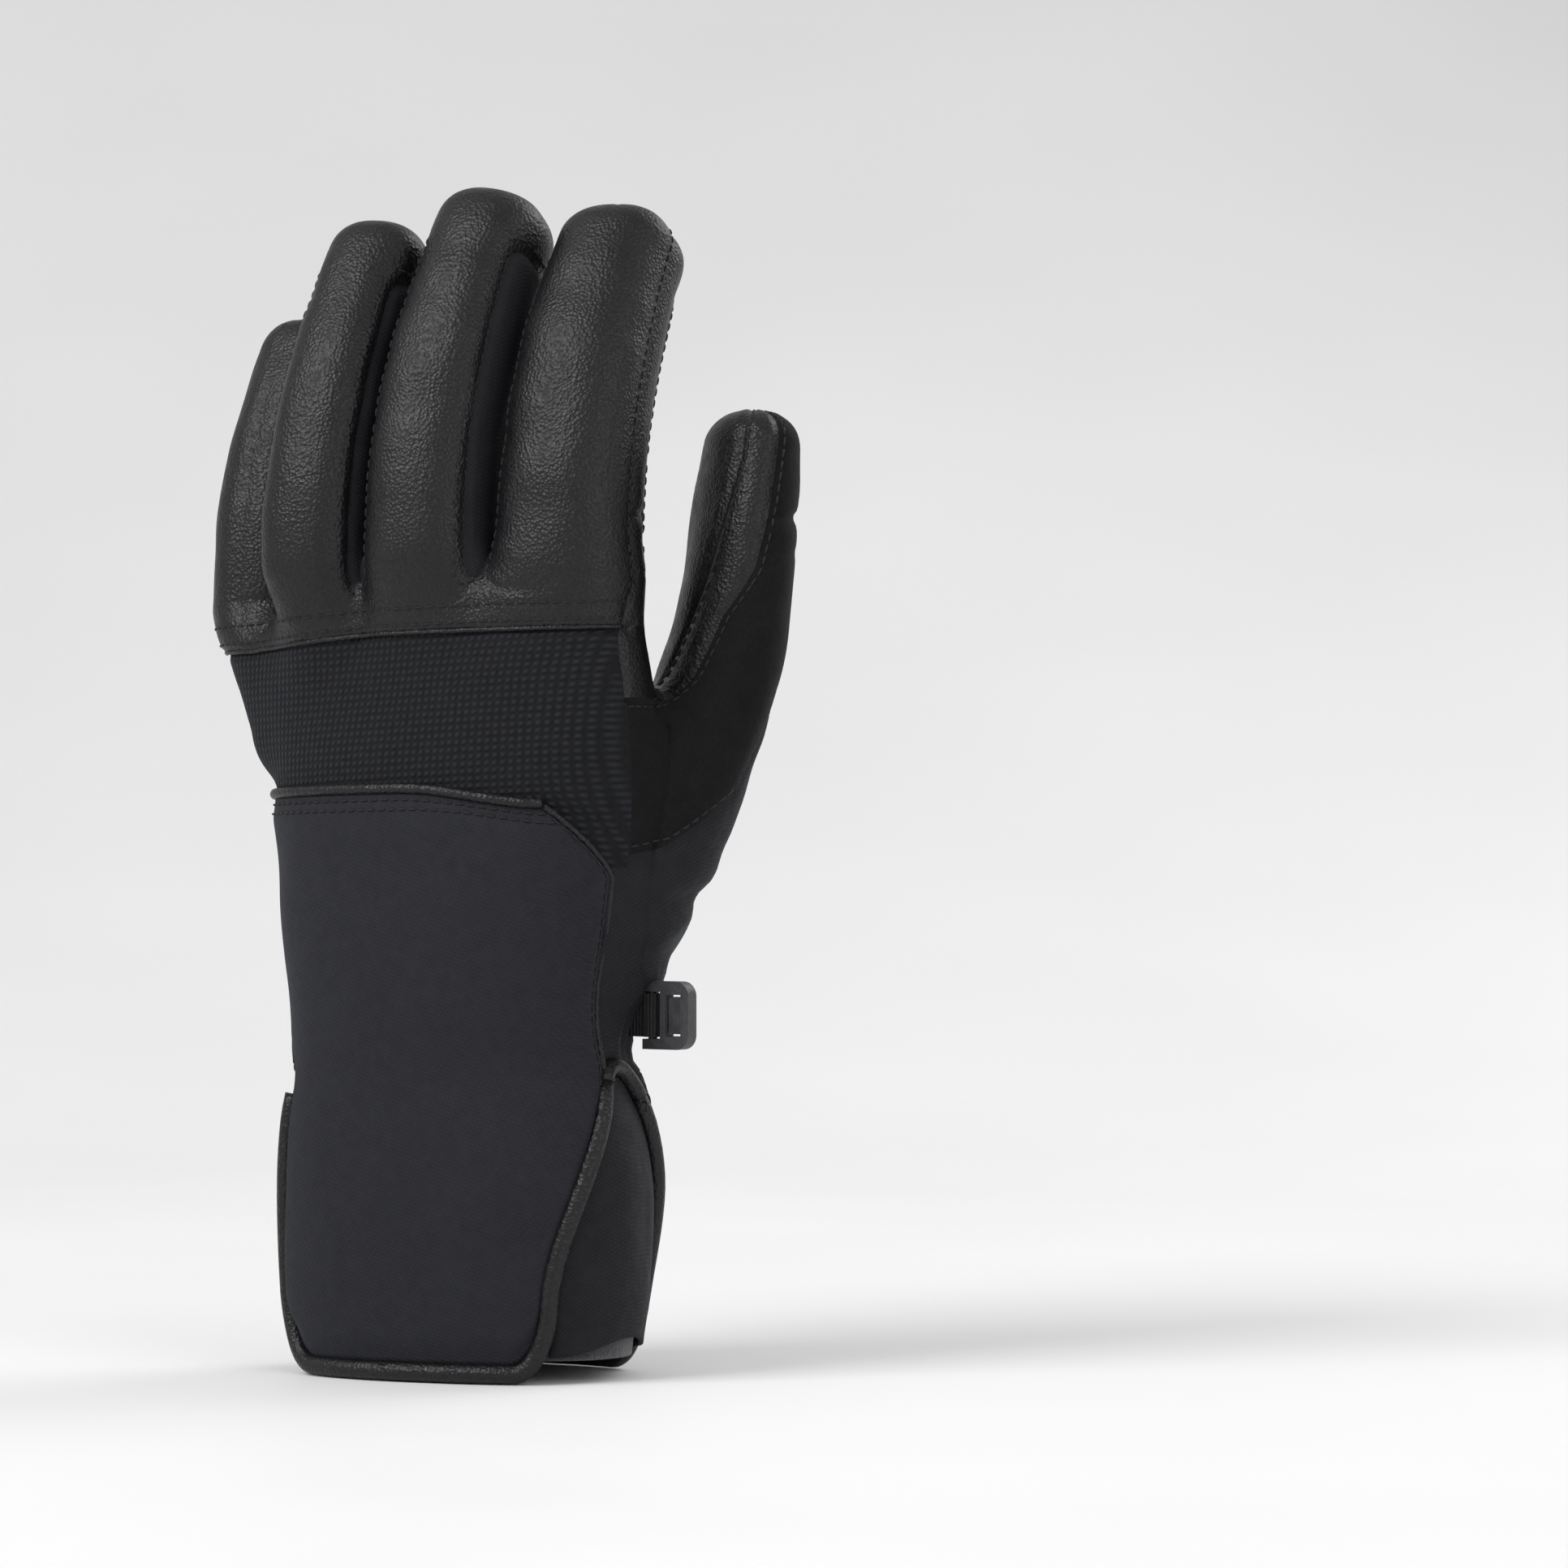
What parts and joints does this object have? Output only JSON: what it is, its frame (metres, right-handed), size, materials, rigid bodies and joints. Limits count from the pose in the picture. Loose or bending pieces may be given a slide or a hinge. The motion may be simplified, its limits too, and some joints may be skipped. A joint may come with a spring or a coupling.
{
  "type": "ski glove",
  "caption": "Left leather and softshell ski glove with padded lined fingers, gathered wrist, piped cuff panels, pull strap and a plastic pairing clip.",
  "frame": {"origin": "centre of the cuff's mouth, in the plane of the hem that the glove stands on", "axes": "+Z along the fingers, +Y out of the palm, +X to the thumb side"},
  "size_m": [0.1516, 0.0779, 0.2863],
  "materials": {
    "leather": "semi-gloss pebbled goat leather",
    "softshell": "matte softshell",
    "knit": "matte ribbed knit",
    "suede": "matte suede",
    "neoprene": "matte fine knit over foam",
    "webbing": "satin grosgrain",
    "plastic": "satin moulded plastic",
    "label": "woven label",
    "wadding": "matte wadding",
    "film": "satin film",
    "lining": "matte brushed fleece",
    "elastic": "matte elastic"
  },
  "bodies": {
    "cuff": {"back_cuff_panel_lower": "softshell", "palm_cuff_panel": "neoprene", "cuff_gussets": "softshell", "back_panel_piping": "leather", "palm_panel_piping": "leather", "pull_strap": "webbing", "woven_label": "label", "cuff_lining": "lining"},
    "hand": {"back_cuff_panel_upper": "softshell", "cuff_welt": "leather", "knit_band": "knit", "back_yoke": "leather", "palm_leather": "leather", "thumb_base_suede": "suede", "thumb_base_softshell": "softshell", "thumb_strip": "leather", "thumb_crotch_patch": "leather", "wrist_elastic": "elastic", "hand_insulation": "wadding", "waterproof_membrane": "film", "hand_lining": "lining", "clip_tab": "webbing"},
    "clip_frame": {"clip_frame": "plastic"},
    "clip_tongue": {"clip_tongue": "plastic"},
    "index_lower": {"index_back_lower": "leather", "index_palm_lower": "leather", "index_fourchette_lower": "softshell", "index_lining_lower": "lining"},
    "index_upper": {"index_back_upper": "leather", "index_palm_upper": "leather", "index_fourchette_upper": "softshell", "index_lining_upper": "lining"},
    "middle_lower": {"middle_back_lower": "leather", "middle_palm_lower": "leather", "middle_fourchette_lower": "softshell", "middle_lining_lower": "lining"},
    "middle_upper": {"middle_back_upper": "leather", "middle_palm_upper": "leather", "middle_fourchette_upper": "softshell", "middle_lining_upper": "lining"},
    "ring_lower": {"ring_back_lower": "leather", "ring_palm_lower": "leather", "ring_fourchette_lower": "softshell", "ring_lining_lower": "lining"},
    "ring_upper": {"ring_back_upper": "leather", "ring_palm_upper": "leather", "ring_fourchette_upper": "softshell", "ring_lining_upper": "lining"},
    "little_lower": {"little_back_lower": "leather", "little_palm_lower": "leather", "little_fourchette_lower": "softshell", "little_lining_lower": "lining"},
    "little_upper": {"little_back_upper": "leather", "little_palm_upper": "leather", "little_fourchette_upper": "softshell", "little_lining_upper": "lining"},
    "thumb_lower": {"thumb_shell_lower": "suede", "thumb_lining_lower": "lining"},
    "thumb_upper": {"thumb_shell_upper": "suede", "thumb_lining_upper": "lining"}
  },
  "joints": [
    {"name": "wrist_bend", "type": "hinge", "parent": "cuff", "child": "hand", "pos_m": [0, 0, 0.078], "axis": [-1, 0, 0], "range_deg": [-25, 35]},
    {"name": "index_knuckle", "type": "hinge", "parent": "hand", "child": "index_lower", "pos_m": [0.0266, 0.002, 0.2], "axis": [-1, 0, 0], "range_deg": [-15, 55]},
    {"name": "index_middle_joint", "type": "hinge", "parent": "index_lower", "child": "index_upper", "pos_m": [0.02748, 0.00663, 0.23929], "axis": [-1, 0, 0], "range_deg": [-20, 60]},
    {"name": "middle_knuckle", "type": "hinge", "parent": "hand", "child": "middle_lower", "pos_m": [-0.0079, -0.003, 0.2], "axis": [-1, 0, 0], "range_deg": [-15, 55]},
    {"name": "middle_middle_joint", "type": "hinge", "parent": "middle_lower", "child": "middle_upper", "pos_m": [-0.00635, 0.00163, 0.24164], "axis": [-1, 0, 0], "range_deg": [-20, 60]},
    {"name": "ring_knuckle", "type": "hinge", "parent": "hand", "child": "ring_lower", "pos_m": [-0.0383, -0.002, 0.199], "axis": [-1, 0, 0], "range_deg": [-15, 55]},
    {"name": "ring_middle_joint", "type": "hinge", "parent": "ring_lower", "child": "ring_upper", "pos_m": [-0.03697, 0.00263, 0.23782], "axis": [-1, 0, 0], "range_deg": [-20, 60]},
    {"name": "little_knuckle", "type": "hinge", "parent": "hand", "child": "little_lower", "pos_m": [-0.065, 0.022, 0.188], "axis": [-1, 0, 0], "range_deg": [-15, 55]},
    {"name": "little_middle_joint", "type": "hinge", "parent": "little_lower", "child": "little_upper", "pos_m": [-0.06412, 0.02486, 0.22137], "axis": [-1, 0, 0], "range_deg": [-20, 60]},
    {"name": "thumb_base", "type": "hinge", "parent": "hand", "child": "thumb_lower", "pos_m": [0.0592, 0.029, 0.188], "axis": [-1, 0, 0], "range_deg": [-12, 35]},
    {"name": "thumb_tip", "type": "hinge", "parent": "thumb_lower", "child": "thumb_upper", "pos_m": [0.05986, 0.02877, 0.21056], "axis": [-1, 0, 0], "range_deg": [-12, 45]},
    {"name": "clip_swing", "type": "hinge", "parent": "hand", "child": "clip_frame", "pos_m": [0.04586, 0.0066, 0.088], "axis": [0, 0, 1], "range_deg": [-60, 70]},
    {"name": "clip_press", "type": "hinge", "parent": "clip_frame", "child": "clip_tongue", "pos_m": [0.05461, 0.00474, 0.088], "axis": [0, 0, 1], "range_deg": [0, 12], "stiffness_Nm_per_rad": 0.02}
  ]
}
